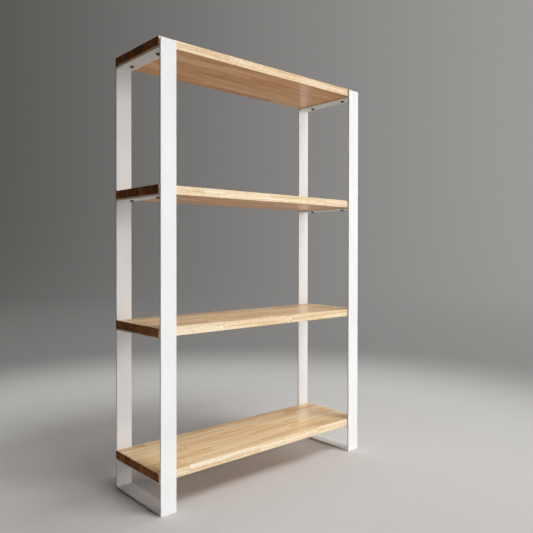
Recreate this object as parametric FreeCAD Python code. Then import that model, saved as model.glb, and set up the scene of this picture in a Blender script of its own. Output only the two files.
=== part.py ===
import FreeCAD, Part
import math
import os

# Free-standing shelving unit: two welded end frames of flat bar carry four wooden boards.
# Millimetres, +Z up, X along the boards, Y from the front to the back.
# The origin is on the floor, at the centre of the unit's footprint.

# Boards of edge-glued wood, each resting on a pair of cross bars
BOARD_LENGTH = 1000.0
BOARD_THICKNESS = 30.0
BOARD_EDGE_EASE = 1.2          # flat planed along every edge
BOARD_GAP = 0.5                # between a board's long edge and the upright beside it
BOARD_OVERHANG = 4.0           # from an upright's outer edge to the end of the board
TOP_BOARD_PROUD = 3.5          # the top board's face above the tops of the uprights

# End frames of flat bar
FRAME_INNER_DEPTH = 300.0      # between the inner faces of a front and a back upright
BAR_WIDTH = 60.0
BAR_THICKNESS = 6.0
BAR_EDGE_EASE = 0.6            # flat along the edges of the bar
UPRIGHT_CORNER_RADIUS = 8.0    # outer top corner of each upright
WELD_LEG = 4.0
WELD_CROWN = 0.5               # how far a bead swells past a straight fillet
WELD_SETBACK = 3.0             # from the bar's edge to the end of its bead

# Heights of the open spaces
FLOOR_GAP = 104.0              # from the floor to the underside of the lowest cross bars
LOWER_BAY_HEIGHT = 445.0       # from one board's top to the next board's underside
MIDDLE_BAY_HEIGHT = 440.0
UPPER_BAY_HEIGHT = 450.0

# Coach screws with six-sided heads, two through each cross bar and up into the board
SCREW_SPACING = 180.0          # between the two screws of one cross bar
SCREW_HEAD_WIDTH = 13.0        # between two opposite flats
SCREW_HEAD_HEIGHT = 5.5
SCREW_FACE_DIAMETER = 12.2     # round face left where the head's corners are turned off
SCREW_SHANK_DIAMETER = 8.0
SCREW_REACH = 19.0             # length inside the board
SCREW_POINT_LENGTH = 6.0
BAR_HOLE_CLEARANCE = 0.4       # round the shank, in the bar
PILOT_HOLE_CLEARANCE = 0.1     # round the shank, in the board
PILOT_HOLE_RUN_OUT = 2.0       # past the screw's end

# Places that follow from the sizes above
UPRIGHT_OUTER_X = BOARD_LENGTH / 2 - BOARD_OVERHANG
UPRIGHT_INNER_X = UPRIGHT_OUTER_X - BAR_WIDTH
BAR_CENTRE_X = UPRIGHT_OUTER_X - BAR_WIDTH / 2
INNER_FACE_Y = FRAME_INNER_DEPTH / 2
BOARD_DEPTH = FRAME_INNER_DEPTH - 2 * BOARD_GAP
SCREW_RADIUS = SCREW_SHANK_DIAMETER / 2

BOTTOM_SEAT = FLOOR_GAP + BAR_THICKNESS
LOWER_SEAT = BOTTOM_SEAT + BOARD_THICKNESS + LOWER_BAY_HEIGHT
UPPER_SEAT = LOWER_SEAT + BOARD_THICKNESS + MIDDLE_BAY_HEIGHT
TOP_SEAT = UPPER_SEAT + BOARD_THICKNESS + UPPER_BAY_HEIGHT
SEATS = {"bottom": BOTTOM_SEAT, "lower": LOWER_SEAT, "upper": UPPER_SEAT, "top": TOP_SEAT}
UPRIGHT_HEIGHT = TOP_SEAT + BOARD_THICKNESS - TOP_BOARD_PROUD

SIDES = {"left": -1, "right": 1}
ENDS = {"front": -1, "back": 1}
UP = FreeCAD.Vector(0, 0, 1)
HEAD_TURNING_SLOPE = math.tan(math.radians(60))   # how fast the turned cone widens along the head
HAIR = 1e-6


def edges_along_y(solid):
    """Straight edges that run from the front to the back."""
    return [edge for edge in solid.Edges if edge.BoundBox.XLength < HAIR and edge.BoundBox.ZLength < HAIR]


def edges_across_y(solid):
    """Edges that lie in one plane square to Y, such as the rims of an upright's two broad faces."""
    return [edge for edge in solid.Edges if edge.BoundBox.YLength < HAIR]


def screw_places():
    """Front-to-back places of the two screws in a cross bar."""
    return [end * SCREW_SPACING / 2 for end in ENDS.values()]


def upright(side, end):
    """Flat bar on its end, broad face to the front, with its outer top corner rounded."""
    near_y = min(end * INNER_FACE_Y, end * (INNER_FACE_Y + BAR_THICKNESS))
    radius = UPRIGHT_CORNER_RADIUS
    shortfall = radius * (1 - math.sqrt(0.5))

    def point(x, z):
        return FreeCAD.Vector(side * x, near_y, z)

    foot_inner = point(UPRIGHT_INNER_X, 0)
    foot_outer = point(UPRIGHT_OUTER_X, 0)
    corner_start = point(UPRIGHT_OUTER_X, UPRIGHT_HEIGHT - radius)
    corner_middle = point(UPRIGHT_OUTER_X - shortfall, UPRIGHT_HEIGHT - shortfall)
    corner_end = point(UPRIGHT_OUTER_X - radius, UPRIGHT_HEIGHT)
    head_inner = point(UPRIGHT_INNER_X, UPRIGHT_HEIGHT)
    outline = Part.Wire([
        Part.LineSegment(foot_inner, foot_outer).toShape(),
        Part.LineSegment(foot_outer, corner_start).toShape(),
        Part.Arc(corner_start, corner_middle, corner_end).toShape(),
        Part.LineSegment(corner_end, head_inner).toShape(),
        Part.LineSegment(head_inner, foot_inner).toShape(),
    ])
    plate = Part.Face(outline).extrude(FreeCAD.Vector(0, BAR_THICKNESS, 0))
    return plate.makeChamfer(BAR_EDGE_EASE, edges_across_y(plate))


def lying_bar(side, underside):
    """Flat bar lying between the two uprights of one frame, its ends square against them."""
    low_x = min(side * UPRIGHT_INNER_X, side * UPRIGHT_OUTER_X)
    corner = FreeCAD.Vector(low_x, -INNER_FACE_Y, underside)
    bar = Part.makeBox(BAR_WIDTH, FRAME_INNER_DEPTH, BAR_THICKNESS, corner)
    return bar.makeChamfer(BAR_EDGE_EASE, edges_along_y(bar))


def cross_bar(side, seat):
    """Lying bar under a board, with a clearance hole for each screw."""
    bar = lying_bar(side, seat - BAR_THICKNESS)
    for y in screw_places():
        mouth = FreeCAD.Vector(side * BAR_CENTRE_X, y, seat - BAR_THICKNESS)
        bar = bar.cut(Part.makeCylinder(SCREW_RADIUS + BAR_HOLE_CLEARANCE, BAR_THICKNESS, mouth, UP))
    return bar


def weld_bead(side, end, bar_face, away):
    """Fillet bead in the corner of a lying bar's face and an upright; away is +1 above the bar, -1 below."""
    start_x = side * BAR_CENTRE_X - BAR_WIDTH / 2 + WELD_SETBACK

    def point(from_upright, from_bar):
        return FreeCAD.Vector(start_x, end * (INNER_FACE_Y - from_upright), bar_face + away * from_bar)

    crown = WELD_LEG / 2 + WELD_CROWN * math.sqrt(0.5)
    root = point(0, 0)
    toe_on_bar = point(WELD_LEG, 0)
    toe_on_upright = point(0, WELD_LEG)
    section = Part.Wire([
        Part.LineSegment(root, toe_on_bar).toShape(),
        Part.Arc(toe_on_bar, point(crown, crown), toe_on_upright).toShape(),
        Part.LineSegment(toe_on_upright, root).toShape(),
    ])
    return Part.Face(section).extrude(FreeCAD.Vector(BAR_WIDTH - 2 * WELD_SETBACK, 0, 0))


def frame_welds(side):
    """All beads of one frame: above the foot bar and below each cross bar, at both uprights."""
    beads = []
    for end in ENDS.values():
        beads.append(weld_bead(side, end, BAR_THICKNESS, 1))
        for seat in SEATS.values():
            beads.append(weld_bead(side, end, seat - BAR_THICKNESS, -1))
    return Part.makeCompound(beads)


def board(seat):
    """Board with every edge eased, and a blind pilot hole over each screw."""
    corner = FreeCAD.Vector(-BOARD_LENGTH / 2, -BOARD_DEPTH / 2, seat)
    plank = Part.makeBox(BOARD_LENGTH, BOARD_DEPTH, BOARD_THICKNESS, corner)
    plank = plank.makeChamfer(BOARD_EDGE_EASE, plank.Edges)
    for side in SIDES.values():
        for y in screw_places():
            mouth = FreeCAD.Vector(side * BAR_CENTRE_X, y, seat)
            hole = Part.makeCylinder(
                SCREW_RADIUS + PILOT_HOLE_CLEARANCE, SCREW_REACH + PILOT_HOLE_RUN_OUT, mouth, UP)
            plank = plank.cut(hole)
    return plank


def screw(x, y, head_face):
    """Six-sided head with its corners turned off below head_face, and a pointed shank above it."""
    seat = FreeCAD.Vector(x, y, head_face)
    crown = seat - UP * SCREW_HEAD_HEIGHT
    corner_radius = SCREW_HEAD_WIDTH / math.sqrt(3)
    turns = [math.radians(60 * number) for number in range(7)]
    corners = [crown + FreeCAD.Vector(math.cos(turn), math.sin(turn), 0) * corner_radius for turn in turns]
    blank = Part.Face(Part.makePolygon(corners)).extrude(UP * SCREW_HEAD_HEIGHT)
    face_radius = SCREW_FACE_DIAMETER / 2
    wide_radius = face_radius + SCREW_HEAD_HEIGHT * HEAD_TURNING_SLOPE
    head = blank.common(Part.makeCone(face_radius, wide_radius, SCREW_HEAD_HEIGHT, crown, UP))

    shank_length = BAR_THICKNESS + SCREW_REACH - SCREW_POINT_LENGTH
    shank = Part.makeCylinder(SCREW_RADIUS, shank_length, seat, UP)
    point = Part.makeCone(SCREW_RADIUS, 0, SCREW_POINT_LENGTH, seat + UP * shank_length, UP)
    return head.fuse(shank).fuse(point)


def board_screws(seat):
    """The screws that hold one board, as separate solids."""
    head_face = seat - BAR_THICKNESS
    places = [(side * BAR_CENTRE_X, y) for side in SIDES.values() for y in screw_places()]
    return Part.makeCompound([screw(x, y, head_face) for x, y in places])


def unit_parts():
    """Every piece of the unit by its node name."""
    parts = {}
    for side_name, side in SIDES.items():
        for end_name, end in ENDS.items():
            parts[f"{side_name}_{end_name}_upright"] = upright(side, end)
        parts[f"{side_name}_foot_bar"] = lying_bar(side, 0)
        for level, seat in SEATS.items():
            parts[f"{side_name}_{level}_cross_bar"] = cross_bar(side, seat)
        parts[f"{side_name}_weld_beads"] = frame_welds(side)
    for level, seat in SEATS.items():
        parts[f"{level}_board"] = board(seat)
        parts[f"{level}_board_screws"] = board_screws(seat)
    return parts


os.makedirs("parts", exist_ok=True)
for name, shape in unit_parts().items():
    shape.exportStep(f"parts/{name}.step")
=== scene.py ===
import math

import bpy
import numpy as np
from mathutils import Matrix, Vector


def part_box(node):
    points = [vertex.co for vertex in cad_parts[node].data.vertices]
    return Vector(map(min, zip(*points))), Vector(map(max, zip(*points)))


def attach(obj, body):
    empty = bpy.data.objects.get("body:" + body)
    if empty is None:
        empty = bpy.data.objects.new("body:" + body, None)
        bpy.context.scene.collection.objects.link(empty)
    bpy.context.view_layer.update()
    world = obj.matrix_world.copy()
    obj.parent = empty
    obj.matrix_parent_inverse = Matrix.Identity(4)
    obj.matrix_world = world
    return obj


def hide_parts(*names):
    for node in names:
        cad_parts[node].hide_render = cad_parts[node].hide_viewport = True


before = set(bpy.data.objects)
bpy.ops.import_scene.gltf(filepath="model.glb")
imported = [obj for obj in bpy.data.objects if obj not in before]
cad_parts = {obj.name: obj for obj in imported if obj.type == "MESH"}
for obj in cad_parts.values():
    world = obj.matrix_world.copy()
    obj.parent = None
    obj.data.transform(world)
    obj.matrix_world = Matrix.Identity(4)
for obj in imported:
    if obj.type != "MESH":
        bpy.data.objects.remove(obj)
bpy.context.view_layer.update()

# All sizes are in metres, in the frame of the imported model
LEVELS = ("bottom", "lower", "upper", "top")
SIDES = ("left", "right")

# Boards: staves side by side, each of blocks jointed end to end
BOARD_ROUND = 0.0014          # radius of the eased edges
BOARD_ARC_POINTS = 6          # on the quarter circle of each eased edge
BOARD_PITCH = 0.475           # about the height from one board to the next
BOARD_MIDDLE = 0.13           # about the height of a board's middle within its pitch
BOARD_SEEDS = (391.0, 290.0, 104.0, 207.0)   # each board's own draw of blocks, from the bottom up
STAVE_WIDTH = 0.0338
STAVE_START = -0.152          # front edge of the first stave
STAVE_DRAW = 3.0              # sets the staves' draw apart from the blocks'
BLOCK_START = -2.0            # left of every board, where blocks are counted from
BLOCK_SHORTEST = 0.22
BLOCK_SPREAD = 0.20           # from the shortest block to the longest
BLOCK_SECOND_DRAW = 9.0       # sets a block's second draw apart from its first
FINGER_START = -1.0           # in front of every board, where fingers are counted from
FINGER_LENGTH = 0.006
FINGER_WIDTH = 0.0035
HEART_NEAREST = 0.035         # from a block's middle to the heart of its log
HEART_SPREAD = 0.07           # from the nearest heart to the farthest
GRAIN_SLOPE = 0.05            # spread of the slopes at which rings run along a block
GRAIN_WOBBLE = 0.012
RING_SPACING = 0.0085
GLUE_CORE = 0.0001            # half the width of a glue line's darkest part
SEAM_FADE = 0.0006            # from the seam of two staves to where its line has gone
BUTT_FADE = 0.0007            # the same at the end of a block
WOOD_RELIEF = 0.00006

# Paint
PAINT_RELIEF = 0.00005
BEAD_FLOW = 1.6               # how much rougher the paint lies on a bead
RUB_HEIGHT = 0.09             # rubbed spots are found below it

# Weld beads
WELD_LEG = 0.004
WELD_LENGTH = 0.054
WELD_FULLNESS = 0.97          # share of the leg at the top of a ripple
WELD_RIPPLE = 0.0027          # length of one ripple
WELD_RIPPLE_DEPTH = 0.16      # share of the leg
WELD_END_POWER = 14           # the higher, the blunter the ends
WELD_END_LEAST = 0.02
WELD_SWELL = 0.18
WELD_RINGS = 140
WELD_ARC_POINTS = 12
WELD_SEED_STEP = 0.37         # from one bead's seed to the next

# Coach screws
BAR_THICKNESS = 0.006
SCREW_HEAD_WIDTH = 0.013      # between two opposite flats
SCREW_HEAD_HEIGHT = 0.0055
SCREW_HEAD_TURNING = math.radians(30)        # slope of the cone that takes off the corners
SCREW_FACE_RADIUS = 0.0061
SCREW_DISH = (0.04, 0.35, 0.62, 0.74, 0.82)  # rings of the dish, as shares of the face's radius
SCREW_DISH_WALL = 0.2         # width of the dish's sloping wall, as such a share
SCREW_DISH_DEPTH = 0.0006
SCREW_HEAD_RINGS = len(SCREW_DISH) + 3       # the dish, the face's rim, and the flats' two ends
SCREW_SHANK_RADIUS = 0.004
SCREW_THREAD_START = 0.0065   # from the seat of the head, as the next two
SCREW_THREAD_END = 0.019
SCREW_LENGTH = 0.025
SCREW_PITCH = 0.0032          # of the thread
SCREW_THREAD_RINGS = 48
SCREW_THREAD_DEPTH = 0.07     # half of it, as a share of the shank's radius
SCREW_TIP = 0.05              # radius left at the point, as such a share
SCREW_POINTS = 72             # round the axis
SCREW_RELIEF = 0.00002

# Studio
FLOOR_RINGS = (0.02, 1.0, 2.5, 5.0)
FLOOR_POINTS = 96             # round the middle
FLOOR_FLAT_RADIUS = 8.4       # where the floor starts to bend up
FLOOR_BEND = 2.6              # radius of the bend
FLOOR_BEND_POINTS = 14
WALL_RADIUS = FLOOR_FLAT_RADIUS + FLOOR_BEND
WALL_TOP = 10.0
GLOW_START, GLOW_FULL = 0.9, 2.4             # radii between which the lit floor becomes backdrop
WALL_START, WALL_FULL = 1.1, 3.0             # radii between which the backdrop becomes wall grey
CARD_POINTS = 6               # along each side of the black card
CARD_FRONT, CARD_BACK = -1.6, 2.6
CARD_FOOT, CARD_TOP = 0.02, 3.2
CARD_X = -2.1
CARD_SLANT = 0.25

# Colours of the wood, from its darkest tone to its palest, and tints that multiply them
WOOD_TONES = (
    (0.0, (0.620, 0.370, 0.160)),
    (0.35, (0.755, 0.513, 0.256)),
    (0.62, (0.820, 0.602, 0.338)),
    (1.0, (0.880, 0.727, 0.503)))
RED_TINT = (1.04, 0.90, 0.78)
# Painted sheen: the long edges are tinted paler, standing in for the window's gloss on them
EDGE_SHEEN_TINT = (0.975, 1.095, 1.31)
# Painted light: the undersides are tinted redder, standing in for warm light bounced up from the boards
# below
UNDER_BOUNCE_TINT = (1.01, 0.815, 0.66)
END_TINT = (0.62, 0.31, 0.13)
END_BROWN = (0.16, 0.056, 0.015)
PORE_BROWN = (0.30, 0.16, 0.07)
GLUE_BROWN = (0.26, 0.13, 0.05)

# Colours of the paint, the screws and the studio
PAINT_DULL = (0.785, 0.784, 0.780)
PAINT_BRIGHT = (0.838, 0.838, 0.835)
PAINT_RUBBED = (0.46, 0.42, 0.37)
STEEL_DARK = (0.060, 0.058, 0.055)
STEEL_CLOUD = (0.130, 0.126, 0.120)
FLOOR_PALE = (0.585, 0.574, 0.561)
FLOOR_CLOUD = (0.55, 0.540, 0.528)
FLOOR_GLOW = (0.56, 0.55, 0.535)
# Painted light on the backdrop wall: a shaded grey at the left and a lit grey at the right
WALL_SHADED = (0.098, 0.095, 0.090)
WALL_LIT = (0.345, 0.338, 0.328)
FELT_BLACK = (0.01, 0.01, 0.01, 1.0)
WARM_LIGHT = (1.0, 0.995, 0.985)
COOL_LIGHT = (0.985, 0.99, 1.0)
PALE_LIGHT = (0.99, 0.995, 1.0)
AIR_COLOUR = (0.93, 0.96, 1.0, 1.0)
AIR_STRENGTH = 0.03


# Shader arithmetic

class Shade:
    """One output of a material's nodes. Arithmetic on it adds Math nodes, and node() adds any other."""

    def __init__(self, tree, socket=None):
        self.tree = tree
        self.socket = socket

    def node(self, kind, settings=None, sockets=None, output=0):
        """A new node: its settings first, then the values or links of its sockets, by name or number."""
        made = self.tree.nodes.new(kind)
        for name, value in (settings or {}).items():
            if name == "stops":
                self.set_stops(made.color_ramp, value)
            else:
                setattr(made, name, value)
        for key, value in (sockets or {}).items():
            if isinstance(value, Shade):
                self.tree.links.new(value.socket, made.inputs[key])
            else:
                made.inputs[key].default_value = value
        return Shade(self.tree, made.outputs[output] if len(made.outputs) else None)

    @staticmethod
    def set_stops(ramp, stops):
        """Colour stops as (place, colour) pairs."""
        while len(ramp.elements) < len(stops):
            ramp.elements.new(1.0)
        for element, (place, colour) in zip(ramp.elements, stops):
            element.position = place
            element.color = (*colour, 1.0)

    def other(self, output):
        """Another output of the same node."""
        return Shade(self.tree, self.socket.node.outputs[output])

    def math(self, operation, *values):
        return self.node("ShaderNodeMath", {"operation": operation}, dict(enumerate(values)))

    def __add__(self, value):
        return self.math("ADD", self, value)

    def __radd__(self, value):
        return self.math("ADD", value, self)

    def __sub__(self, value):
        return self.math("SUBTRACT", self, value)

    def __rsub__(self, value):
        return self.math("SUBTRACT", value, self)

    def __mul__(self, value):
        return self.math("MULTIPLY", self, value)

    def __rmul__(self, value):
        return self.math("MULTIPLY", value, self)

    def __truediv__(self, value):
        return self.math("DIVIDE", self, value)

    def __rtruediv__(self, value):
        return self.math("DIVIDE", value, self)

    def __pow__(self, value):
        return self.math("POWER", self, value)

    def __abs__(self):
        return self.math("ABSOLUTE", self)

    def floor(self):
        return self.math("FLOOR", self)

    def fract(self):
        return self.math("FRACT", self)

    def sine(self):
        return self.math("SINE", self)

    def cosine(self):
        return self.math("COSINE", self)

    def equals(self, number):
        """1 where this whole number is the given one, and 0 elsewhere."""
        return self.math("COMPARE", self, float(number), 0.5)

    def zigzag(self, height):
        """Climbs from 0 to height and back again, once in twice the height."""
        return self.math("PINGPONG", self, height)

    def step(self, low, high):
        """Smooth step from 0 at low to 1 at high."""
        return self.node("ShaderNodeMapRange", {"interpolation_type": "SMOOTHSTEP"},
                         {"Value": self, "From Min": low, "From Max": high})

    def ramp(self, *stops):
        return self.node("ShaderNodeValToRGB", {"stops": stops}, {"Fac": self})

    def mix(self, under, over, blend="MIX"):
        """Colour under where this value is 0, blended with colour over where it is 1.

        A Mix node has its colours at sockets 6 and 7, and its mixed colour at output 2.
        """
        pair = [c if isinstance(c, Shade) else (*c, 1.0) for c in (under, over)]
        return self.node("ShaderNodeMix", {"data_type": "RGBA", "blend_type": blend},
                         {0: self, 6: pair[0], 7: pair[1]}, 2)


class Finish:
    """A material with one surface shader and the patterns that its recipe draws on."""

    def __init__(self, name):
        self.material = bpy.data.materials.new(name)
        self.material.use_nodes = True
        self.material.node_tree.nodes.clear()
        self.bench = Shade(self.material.node_tree)
        self.axes = self.parts(self.bench.node("ShaderNodeTexCoord", output="Object"))

    def parts(self, vector):
        first = self.bench.node("ShaderNodeSeparateXYZ", sockets={0: vector})
        return first, first.other(1), first.other(2)

    def vector(self, *parts):
        return self.bench.node("ShaderNodeCombineXYZ", sockets=dict(enumerate(parts)))

    def luck(self, *numbers):
        """Three random numbers from 0 to 1 that belong to these whole numbers."""
        draw = self.bench.node("ShaderNodeTexWhiteNoise", {"noise_dimensions": "3D"},
                               {"Vector": self.vector(*numbers)}, "Color")
        return self.parts(draw)

    def waves(self, per_metre, detail=2.0, roughness=0.5, moved=(0.0, 0.0, 0.0)):
        """Noise with so many waves to the metre along X, Y and Z, each moved by a number of waves."""
        where = [axis * count + shift for axis, count, shift in zip(self.axes, per_metre, moved)]
        return self.bench.node("ShaderNodeTexNoise", {"noise_dimensions": "3D"}, {
            "Vector": self.vector(*where), "Scale": 1.0, "Detail": detail, "Roughness": roughness})

    def facing(self):
        """The three parts of the direction that a face looks in."""
        return self.parts(self.bench.node("ShaderNodeNewGeometry", output="Normal"))

    def surface(self, shader):
        self.bench.node("ShaderNodeOutputMaterial", sockets={"Surface": shader})
        return self.material

    def done(self, sockets, bump=None, bump_height=0.0):
        """Fills a Principled shader; bump is a height from 0 to 1 and bump_height its full size."""
        if bump is not None:
            sockets["Normal"] = self.bench.node("ShaderNodeBump", sockets={
                "Strength": 1.0, "Distance": bump_height, "Height": bump})
        return self.surface(self.bench.node("ShaderNodeBsdfPrincipled", sockets=sockets))


# Finishes

def laminated_wood():
    """Edge-glued staves along X, each of blocks jointed end to end with fingers.

    A stave's number comes from Y, a block's from X after a random shift of its stave, and the numbers of
    block, stave and board give each block its own tone and its own place in the log. The growth rings are
    distances from that log's heart line, so faces, edges and ends agree. Streaks, lines, fibres and pores
    are noise drawn out along X. Long edges are paler and flecked, their paleness a painted sheen;
    undersides are redder, a painted warm bounce; ends are brown and matt.
    """
    wood = Finish("laminated_wood")
    x, y, z = wood.axes
    level = (z / BOARD_PITCH).floor()
    board = sum(level.equals(number) * seed for number, seed in enumerate(BOARD_SEEDS))
    across = (y - STAVE_START) / STAVE_WIDTH
    stave = across.floor()
    shift, stretch, _ = wood.luck(stave, board, STAVE_DRAW)
    finger = (y - FINGER_START).zigzag(FINGER_WIDTH) * (FINGER_LENGTH / FINGER_WIDTH)
    length = stretch * BLOCK_SPREAD + BLOCK_SHORTEST
    along = (x + finger - BLOCK_START) / length + shift
    block = along.floor()
    tone, turn, far = wood.luck(block, stave, board)
    slant, red, _ = wood.luck(block, stave, board + BLOCK_SECOND_DRAW)

    angle = turn * math.tau
    reach = far * HEART_SPREAD + HEART_NEAREST
    log_y = (across.fract() - 0.5) * STAVE_WIDTH - angle.cosine() * reach
    log_z = (z / BOARD_PITCH).fract() * BOARD_PITCH - BOARD_MIDDLE - angle.sine() * reach
    slope = (slant - 0.5) * GRAIN_SLOPE
    wobble = (wood.waves((1.6, 16.0, 16.0), moved=(tone * 40.0, 0.0, 0.0)) - 0.5) * GRAIN_WOBBLE
    distance = (log_y * log_y + log_z * log_z) ** 0.5 + x * slope + wobble
    ring = ((distance * (math.tau / RING_SPACING)).sine() * 0.5 + 0.5) ** 2.0

    streak = wood.waves((2.6, 75.0, 75.0), 3.0, 0.6, (red * 30.0, 0.0, tone * 9.0))
    line = wood.waves((3.5, 210.0, 210.0), moved=(tone * 17.0, 0.0, red * 11.0))
    fibre = wood.waves((16.0, 520.0, 520.0))
    pore = wood.waves((55.0, 900.0, 900.0), 1.0).step(0.64, 0.74)
    fleck = wood.waves((85.0, 260.0, 260.0), 2.0, 0.6, (tone * 5.0, 0.0, 0.0))

    to_x, to_y, to_z = wood.facing()
    edge = abs(to_y).step(0.55, 0.85)
    under = (0.0 - to_z).step(0.55, 0.85)
    end = abs(to_x).step(0.2, 0.5)

    figure = (streak.step(0.28, 0.72) - 0.5) * 0.92 + (line - 0.5) * 2.0
    figure = figure + (fibre - 0.5) * 0.5 - ring * 0.18
    figure = figure * (1.0 + under * 0.6 - edge * 0.4) + (fleck - 0.5) * edge * 1.5
    contrast = 0.66 - edge * 0.42 + under * 0.20
    shade = 0.55 + (tone - 0.5) * contrast + figure
    colour = shade.ramp(*WOOD_TONES)
    colour = (red * 0.35).mix(colour, RED_TINT, "MULTIPLY")
    colour = (pore * 0.30).mix(colour, PORE_BROWN)

    seam = (0.5 - abs(across.fract() - 0.5)) * STAVE_WIDTH
    butt = (0.5 - abs(along.fract() - 0.5)) * length
    glue = 1.0 - seam.step(GLUE_CORE, SEAM_FADE) * butt.step(GLUE_CORE, BUTT_FADE)
    colour = (glue * 0.35).mix(colour, GLUE_BROWN)

    # Painted sheen: the long edges are tinted paler, standing in for the window's gloss on them
    colour = edge.mix(colour, EDGE_SHEEN_TINT, "MULTIPLY")
    # Painted light: the undersides are tinted redder, standing in for warm light bounced up from the boards
    # below
    colour = under.mix(colour, UNDER_BOUNCE_TINT, "MULTIPLY")
    colour = end.mix(colour, END_TINT, "MULTIPLY")
    soaked = ring * 0.35 + (0.6 - shade) * 0.75 + 0.16
    colour = (end * soaked).mix(colour, END_BROWN)

    relief = fibre * 0.5 + ring * 0.25 - pore * 0.6 - glue * 0.5
    return wood.done({
        "Base Color": colour,
        "Roughness": 0.30 + (streak - 0.5) * 0.14 + pore * 0.10 + end * 0.68,
    }, relief, WOOD_RELIEF)


def white_paint(name, flow=1.0):
    """Satin powder coat: a fine orange-peel skin, faint clouds and a few rubbed spots near the floor."""
    paint = Finish(name)
    _, _, z = paint.axes
    peel = paint.waves((620.0, 620.0, 620.0), 1.0)
    cloud = paint.waves((9.0, 9.0, 5.0), 3.0)
    speck = paint.waves((130.0, 130.0, 90.0), 3.0, 0.6).step(0.66, 0.74)
    low = 1.0 - z.step(0.0, RUB_HEIGHT)
    rub = speck * low * 0.5
    colour = cloud.ramp((0.30, PAINT_DULL), (0.70, PAINT_BRIGHT))
    colour = rub.mix(colour, PAINT_RUBBED)
    return paint.done({
        "Base Color": colour,
        "Roughness": 0.46 + (cloud - 0.5) * 0.16 + rub * 0.3,
    }, peel + cloud * 0.5, PAINT_RELIEF * flow)


def dark_steel():
    """Blackened screw: dark metal with turned rings, a little clouded."""
    steel = Finish("dark_steel")
    cloud = steel.waves((700.0, 700.0, 700.0), 3.0)
    turned = steel.waves((3000.0, 3000.0, 9000.0), 1.0)
    return steel.done({
        "Base Color": cloud.ramp((0.25, STEEL_DARK), (0.75, STEEL_CLOUD)),
        "Metallic": 1.0,
        "Roughness": 0.20 + cloud * 0.16,
    }, turned, SCREW_RELIEF)


def studio_paper():
    """Pale floor that turns, far off, into a glowing backdrop: the floor's even grey, then a wall grey with
    painted light, lighter to the right.
    """
    paper = Finish("studio_paper")
    x, y, _ = paper.axes
    cloud = paper.waves((3.0, 3.0, 3.0))
    colour = (cloud * 0.3).mix(FLOOR_PALE, FLOOR_CLOUD)
    matt = paper.bench.node("ShaderNodeBsdfDiffuse", sockets={"Color": colour})
    # Painted light: the wall's glow is darker to the left and lighter to the right, as light falling from
    # the right would leave it
    wall = ((x - y) / (2 * WALL_RADIUS) + 0.5).ramp((0.10, WALL_SHADED), (0.85, WALL_LIT))
    radius = (x * x + y * y) ** 0.5
    grey = radius.step(WALL_START, WALL_FULL).mix(FLOOR_GLOW, wall)
    glow = paper.bench.node("ShaderNodeEmission", sockets={"Color": grey, "Strength": 1.0})
    far = radius.step(GLOW_START, GLOW_FULL)
    seen = paper.bench.node("ShaderNodeLightPath", output="Is Camera Ray")
    seen = (seen + seen.other("Is Glossy Ray") + seen.other("Is Transmission Ray")) * far
    return paper.surface(paper.bench.node("ShaderNodeMixShader", sockets={0: seen, 1: matt, 2: glow}))


# Surfaces

def mesh_piece(name, points, faces, finish, smooth):
    """Object at the origin with one mesh; smooth is true for the faces that shade smoothly."""
    mesh = bpy.data.meshes.new(name)
    mesh.from_pydata(points.reshape(-1, 3).tolist(), [], faces)
    mesh.polygons.foreach_set("use_smooth", np.full(len(faces), smooth))
    mesh.materials.append(finish)
    mesh.update()
    piece = bpy.data.objects.new(name, mesh)
    bpy.context.scene.collection.objects.link(piece)
    return piece


def closed_surface(name, sheets, finish, smooth=True):
    """Mesh of one or more tubes of points, each an array of rings by points by 3.

    Neighbouring points of neighbouring rings make four-sided faces, each ring closes on itself, and one
    flat face closes each end. A tube whose signed volume is negative has its rings turned round, so that
    faces point outwards. Faces round a tube shade smoothly where smooth is true, for all or one by one.
    """
    outward, faces, flags, start = [], [], [], 0
    for sheet in sheets:
        rings, count, _ = sheet.shape
        after = np.roll(sheet, -1, axis=1)
        volume = np.einsum("ijk,ijk->", sheet[:-1], np.cross(after[:-1], sheet[1:]))
        volume += np.einsum("ijk,ijk->", after[:-1], np.cross(after[1:], sheet[1:]))
        outward.append(sheet[:, ::-1] if volume < 0 else sheet)
        index = start + np.arange(rings * count).reshape(rings, count)
        beside = np.roll(index, -1, axis=1)
        quads = np.stack([index[:-1], beside[:-1], beside[1:], index[1:]], axis=-1)
        faces += quads.reshape(-1, 4).tolist() + [index[0, ::-1].tolist(), index[-1].tolist()]
        flags += np.broadcast_to(smooth, (rings - 1, count)).ravel().tolist() + [False, False]
        start += rings * count
    points = np.concatenate([sheet.reshape(-1, 3) for sheet in outward])
    return mesh_piece(name, points, faces, finish, flags)


def stands_for(piece, node):
    """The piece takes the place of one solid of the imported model."""
    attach(piece, "root")
    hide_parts(node)


def rounded_board(low, high):
    """Rounded rectangle in Y and Z, carried along X.

    The four corner arcs have the radius of the eased edges. Towards each end the rectangle draws in by that
    radius times one minus the cosine of an angle while it moves out by the radius times its sine, a quarter
    circle to the end face.
    """
    low, high = np.array(low), np.array(high)
    centre, half = (low + high) / 2, (high - low) / 2
    turn = np.linspace(0, math.pi / 2, BOARD_ARC_POINTS)
    corner = np.repeat(np.arange(4), len(turn)) * math.pi / 2
    around = corner + np.tile(turn, 4)
    side_y = np.sign(np.cos(corner + math.pi / 4))
    side_z = np.sign(np.sin(corner + math.pi / 4))
    radius = BOARD_ROUND * np.concatenate([np.cos(turn[::-1]), np.cos(turn)])
    out = half[0] - BOARD_ROUND + BOARD_ROUND * np.sin(turn)
    along = np.concatenate([-out[::-1], out])
    rings = np.empty((len(along), len(around), 3))
    rings[..., 0] = centre[0] + along[:, None]
    rings[..., 1] = centre[1] + side_y * (half[1] - BOARD_ROUND) + radius[:, None] * np.cos(around)
    rings[..., 2] = centre[2] + side_z * (half[2] - BOARD_ROUND) + radius[:, None] * np.sin(around)
    return rings


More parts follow.
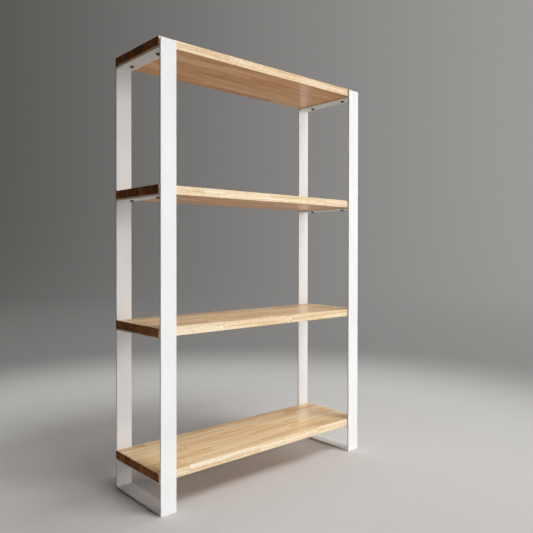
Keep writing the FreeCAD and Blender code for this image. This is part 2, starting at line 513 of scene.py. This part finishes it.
def coach_screw(x, y, seat):
    """Six-sided head below seat and a threaded, pointed shank above it, as rings round the screw's axis.

    The head's radius at an angle is half its width over the cosine of the angle from the nearest flat's
    middle. Its round face rises into a dished middle, and a cone of thirty degrees turns off the corners.
    Above the seat the shank is plain inside the bar, then a wave along it makes the thread, then it runs
    to a point.
    """
    angle = np.linspace(0, math.tau, SCREW_POINTS, endpoint=False)
    circle = np.ones_like(angle)
    hexagon = SCREW_HEAD_WIDTH / 2 / np.cos(angle % (math.pi / 3) - math.pi / 6)
    corner_rise = (hexagon - SCREW_FACE_RADIUS) * math.tan(SCREW_HEAD_TURNING)
    dish = np.array(SCREW_DISH)
    sink = SCREW_DISH_DEPTH * np.clip((dish[-1] - dish) / SCREW_DISH_WALL, 0, 1)

    plain = np.linspace(0.0, BAR_THICKNESS, 3)
    thread = np.linspace(SCREW_THREAD_START, SCREW_THREAD_END, SCREW_THREAD_RINGS)
    wave = 1 - SCREW_THREAD_DEPTH + SCREW_THREAD_DEPTH * np.cos(thread * math.tau / SCREW_PITCH)
    rise = np.concatenate([plain, thread, [SCREW_LENGTH]])
    shank = SCREW_SHANK_RADIUS * np.concatenate([np.ones_like(plain), wave, [SCREW_TIP]])

    radius = np.vstack([
        np.outer(SCREW_FACE_RADIUS * dish, circle),
        SCREW_FACE_RADIUS * circle,
        hexagon,
        hexagon,
        np.outer(shank, circle)])
    height = np.vstack([
        np.outer(sink - SCREW_HEAD_HEIGHT, circle),
        -SCREW_HEAD_HEIGHT * circle,
        corner_rise - SCREW_HEAD_HEIGHT,
        0 * circle,
        np.outer(rise, circle)])
    return np.stack([x + radius * np.cos(angle), y + radius * np.sin(angle), seat + height], axis=-1)


def weld_bead(x, corner_y, corner_z, into_y, into_z, seed):
    """Fillet bead along X in the corner of two faces.

    Its section is the two legs and a swelling curve between their toes. Each ripple is a hump, steep behind
    and shallow ahead, and the legs wander slowly and shrink to nothing along a rounded end.
    """
    place = np.linspace(-1, 1, WELD_RINGS)
    phase = (place * WELD_LENGTH / 2 / WELD_RIPPLE + seed) % 1.0
    hump = 1.0 - WELD_RIPPLE_DEPTH * phase ** 2
    wander = 1 + 0.05 * np.sin(place * 5.1 + seed * 7) + 0.03 * np.sin(place * 11.7 + seed * 3)
    ends = np.sqrt(np.clip(1.0 - np.abs(place) ** WELD_END_POWER, WELD_END_LEAST, 1))
    leg = WELD_LEG * WELD_FULLNESS * hump * wander * ends
    turn = np.linspace(0, math.pi / 2, WELD_ARC_POINTS)
    swell = 1 + WELD_SWELL * np.sin(2 * turn)
    from_y = np.concatenate([[0.0], np.cos(turn) ** 1.6 * swell])
    from_z = np.concatenate([[0.0], np.sin(turn) ** 1.6 * swell])
    rings = np.empty((len(place), len(from_y), 3))
    rings[..., 0] = x + (place * WELD_LENGTH / 2)[:, None]
    rings[..., 1] = corner_y + into_y * leg[:, None] * from_y
    rings[..., 2] = corner_z + into_z * leg[:, None] * from_z
    return rings


def frame_beads(side):
    """All beads of one end frame, in the corners that its bars make with its uprights."""
    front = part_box(f"{side}_front_upright")
    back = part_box(f"{side}_back_upright")
    middle = (front[0].x + front[1].x) / 2
    faces = [(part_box(f"{side}_foot_bar")[1].z, 1)]
    faces += [(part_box(f"{side}_{level}_cross_bar")[0].z, -1) for level in LEVELS]
    ends = [(front[1].y, 1), (back[0].y, -1)]
    corners = [(face, away, inner, into) for face, away in faces for inner, into in ends]
    return [weld_bead(middle, inner, face, into, away, WELD_SEED_STEP * number)
            for number, (face, away, inner, into) in enumerate(corners)]


# Boards, screws, beads and bars

wood = laminated_wood()
steel = dark_steel()
paint = white_paint("white_paint")
bead_paint = white_paint("white_paint_on_beads", BEAD_FLOW)

for level in LEVELS:
    low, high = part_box(f"{level}_board")
    rings = rounded_board(low, high)
    smooth = np.ones((len(rings) - 1, rings.shape[1]), bool)
    broad = BOARD_ARC_POINTS - 1          # the last point of each arc starts a broad, flat face
    smooth[broad, broad::BOARD_ARC_POINTS] = False
    board = closed_surface(f"{level}_wood_board", [rings], wood, smooth)
    stands_for(board, f"{level}_board")

    low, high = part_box(f"{level}_board_screws")
    bars = [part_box(f"{side}_{level}_cross_bar") for side in SIDES]
    places = [((bar[0].x + bar[1].x) / 2, y, bar[0].z) for bar in bars
              for y in (low.y + SCREW_HEAD_WIDTH / 2, high.y - SCREW_HEAD_WIDTH / 2)]
    rings = [coach_screw(*place) for place in places]
    smooth = np.arange(len(rings[0]) - 1)[:, None] >= SCREW_HEAD_RINGS
    screws = closed_surface(f"{level}_coach_screws", rings, steel, smooth)
    stands_for(screws, f"{level}_board_screws")

for side in SIDES:
    beads = closed_surface(f"{side}_rippled_beads", frame_beads(side), bead_paint)
    stands_for(beads, f"{side}_weld_beads")

for name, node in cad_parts.items():
    if name.endswith("_upright") or name.endswith("_bar"):
        node.data.materials.clear()
        node.data.materials.append(paint)


# Floor, light and camera

def studio_floor():
    """Round floor that bends up into a wall: a profile of radius and height, turned about Z."""
    bend = np.linspace(0, math.pi / 2, FLOOR_BEND_POINTS)
    radius = np.concatenate([FLOOR_RINGS, FLOOR_FLAT_RADIUS + FLOOR_BEND * np.sin(bend), [WALL_RADIUS]])
    height = np.concatenate([
        np.zeros(len(FLOOR_RINGS)), FLOOR_BEND - FLOOR_BEND * np.cos(bend), [WALL_TOP]])
    angle = np.linspace(0, math.tau, FLOOR_POINTS, endpoint=False)
    rings = np.stack([
        np.outer(radius, np.cos(angle)),
        np.outer(radius, np.sin(angle)),
        np.outer(height, np.ones_like(angle))], axis=-1)
    index = np.arange(len(radius) * FLOOR_POINTS).reshape(-1, FLOOR_POINTS)
    beside = np.roll(index, -1, axis=1)
    quads = np.stack([index[:-1], index[1:], beside[1:], beside[:-1]], axis=-1).reshape(-1, 4)
    floor = mesh_piece("studio_floor", rings, quads.tolist() + [index[0].tolist()], studio_paper(), True)


def black_card():
    """Upright card on the dark side of the studio, for the gloss alone to mirror.

    Two parameters span its length and its height, and its distance falls in a straight line along it.
    """
    along, up = np.meshgrid(
        np.linspace(CARD_FRONT, CARD_BACK, CARD_POINTS), np.linspace(CARD_FOOT, CARD_TOP, CARD_POINTS))
    from_middle = along - (CARD_FRONT + CARD_BACK) / 2
    points = np.stack([CARD_X - CARD_SLANT * from_middle, along, up], axis=-1)
    index = np.arange(CARD_POINTS ** 2).reshape(CARD_POINTS, CARD_POINTS)
    quads = np.stack([index[:-1, :-1], index[:-1, 1:], index[1:, 1:], index[1:, :-1]], axis=-1)
    felt = Finish("black_felt").done({"Base Color": FELT_BLACK, "Roughness": 0.9})
    piece = mesh_piece("black_card", points, quads.reshape(-1, 4).tolist(), felt, False)
    piece.visible_camera = False
    piece.visible_shadow = False


def softbox(name, place, aim, size, watts, spread, colour, glints=True):
    """Area lamp that faces aim; without glints it lights but isn't mirrored in the boards."""
    lamp = bpy.data.lights.new(name, "AREA")
    lamp.shape = "RECTANGLE"
    lamp.size, lamp.size_y = size
    lamp.energy = watts
    lamp.spread = math.radians(spread)
    lamp.color = colour
    holder = bpy.data.objects.new(name, lamp)
    holder.location = place
    holder.rotation_euler = (Vector(aim) - Vector(place)).to_track_quat("-Z", "Y").to_euler()
    holder.visible_camera = False
    holder.visible_glossy = glints
    bpy.context.scene.collection.objects.link(holder)


def view_camera(place, yaw, pitch, roll, lens, shift_y):
    """Camera from its place, its heading from +Y towards +X, its tilt and its roll, in degrees."""
    yaw, pitch, roll = (math.radians(a) for a in (yaw, pitch, roll))
    ahead = Vector((math.sin(yaw) * math.cos(pitch), math.cos(yaw) * math.cos(pitch), math.sin(pitch)))
    level = Vector((math.cos(yaw), -math.sin(yaw), 0))
    plumb = level.cross(ahead)
    right = level * math.cos(roll) + plumb * math.sin(roll)
    up = plumb * math.cos(roll) - level * math.sin(roll)
    data = bpy.data.cameras.new("view_camera")
    data.sensor_width = 36.0
    data.lens = lens
    data.shift_y = shift_y
    data.clip_start, data.clip_end = 0.05, 100.0
    camera = bpy.data.objects.new("view_camera", data)
    camera.matrix_world = Matrix((right, up, -ahead)).transposed().to_4x4()
    camera.location = place
    bpy.context.scene.collection.objects.link(camera)
    bpy.context.scene.camera = camera


studio_floor()
black_card()
softbox("high_window", (1.2, -4.2, 7.2), (0.0, 0.0, -0.3), (4.4, 3.6), 68.0, 70.0, WARM_LIGHT)
softbox("tall_window", (3.9, -5.9, 2.4), (0.0, 0.0, 1.3), (5.0, 3.0), 46.0, 80.0, COOL_LIGHT,
        glints=False)
softbox("window_sheen", (4.1, -6.2, 2.5), (0.0, 0.0, 1.3), (5.0, 3.0), 16.0, 80.0, COOL_LIGHT)
softbox("side_window", (8.0, -1.0, 2.4), (0.3, 0.0, 0.1), (3.0, 3.0), 54.0, 60.0, PALE_LIGHT,
        glints=False)
softbox("back_window", (2.6, 5.8, 3.4), (0.0, 0.0, 0.6), (5.0, 3.2), 28.0, 90.0, WARM_LIGHT,
        glints=False)
softbox("low_reflector", (0.1, -2.6, 0.28), (0.0, 0.0, 0.3), (2.6, 0.5), 6.4, 120.0, PALE_LIGHT,
        glints=False)

world = bpy.data.worlds.new("studio_air")
world.use_nodes = True
world.node_tree.nodes["Background"].inputs["Color"].default_value = AIR_COLOUR
world.node_tree.nodes["Background"].inputs["Strength"].default_value = AIR_STRENGTH
bpy.context.scene.world = world
bpy.context.scene.view_settings.view_transform = "Standard"

view_camera((-1.473773, -1.779352, 0.871209), yaw=41.487, pitch=-0.534, roll=0.065,
            lens=38.84, shift_y=-0.02098)
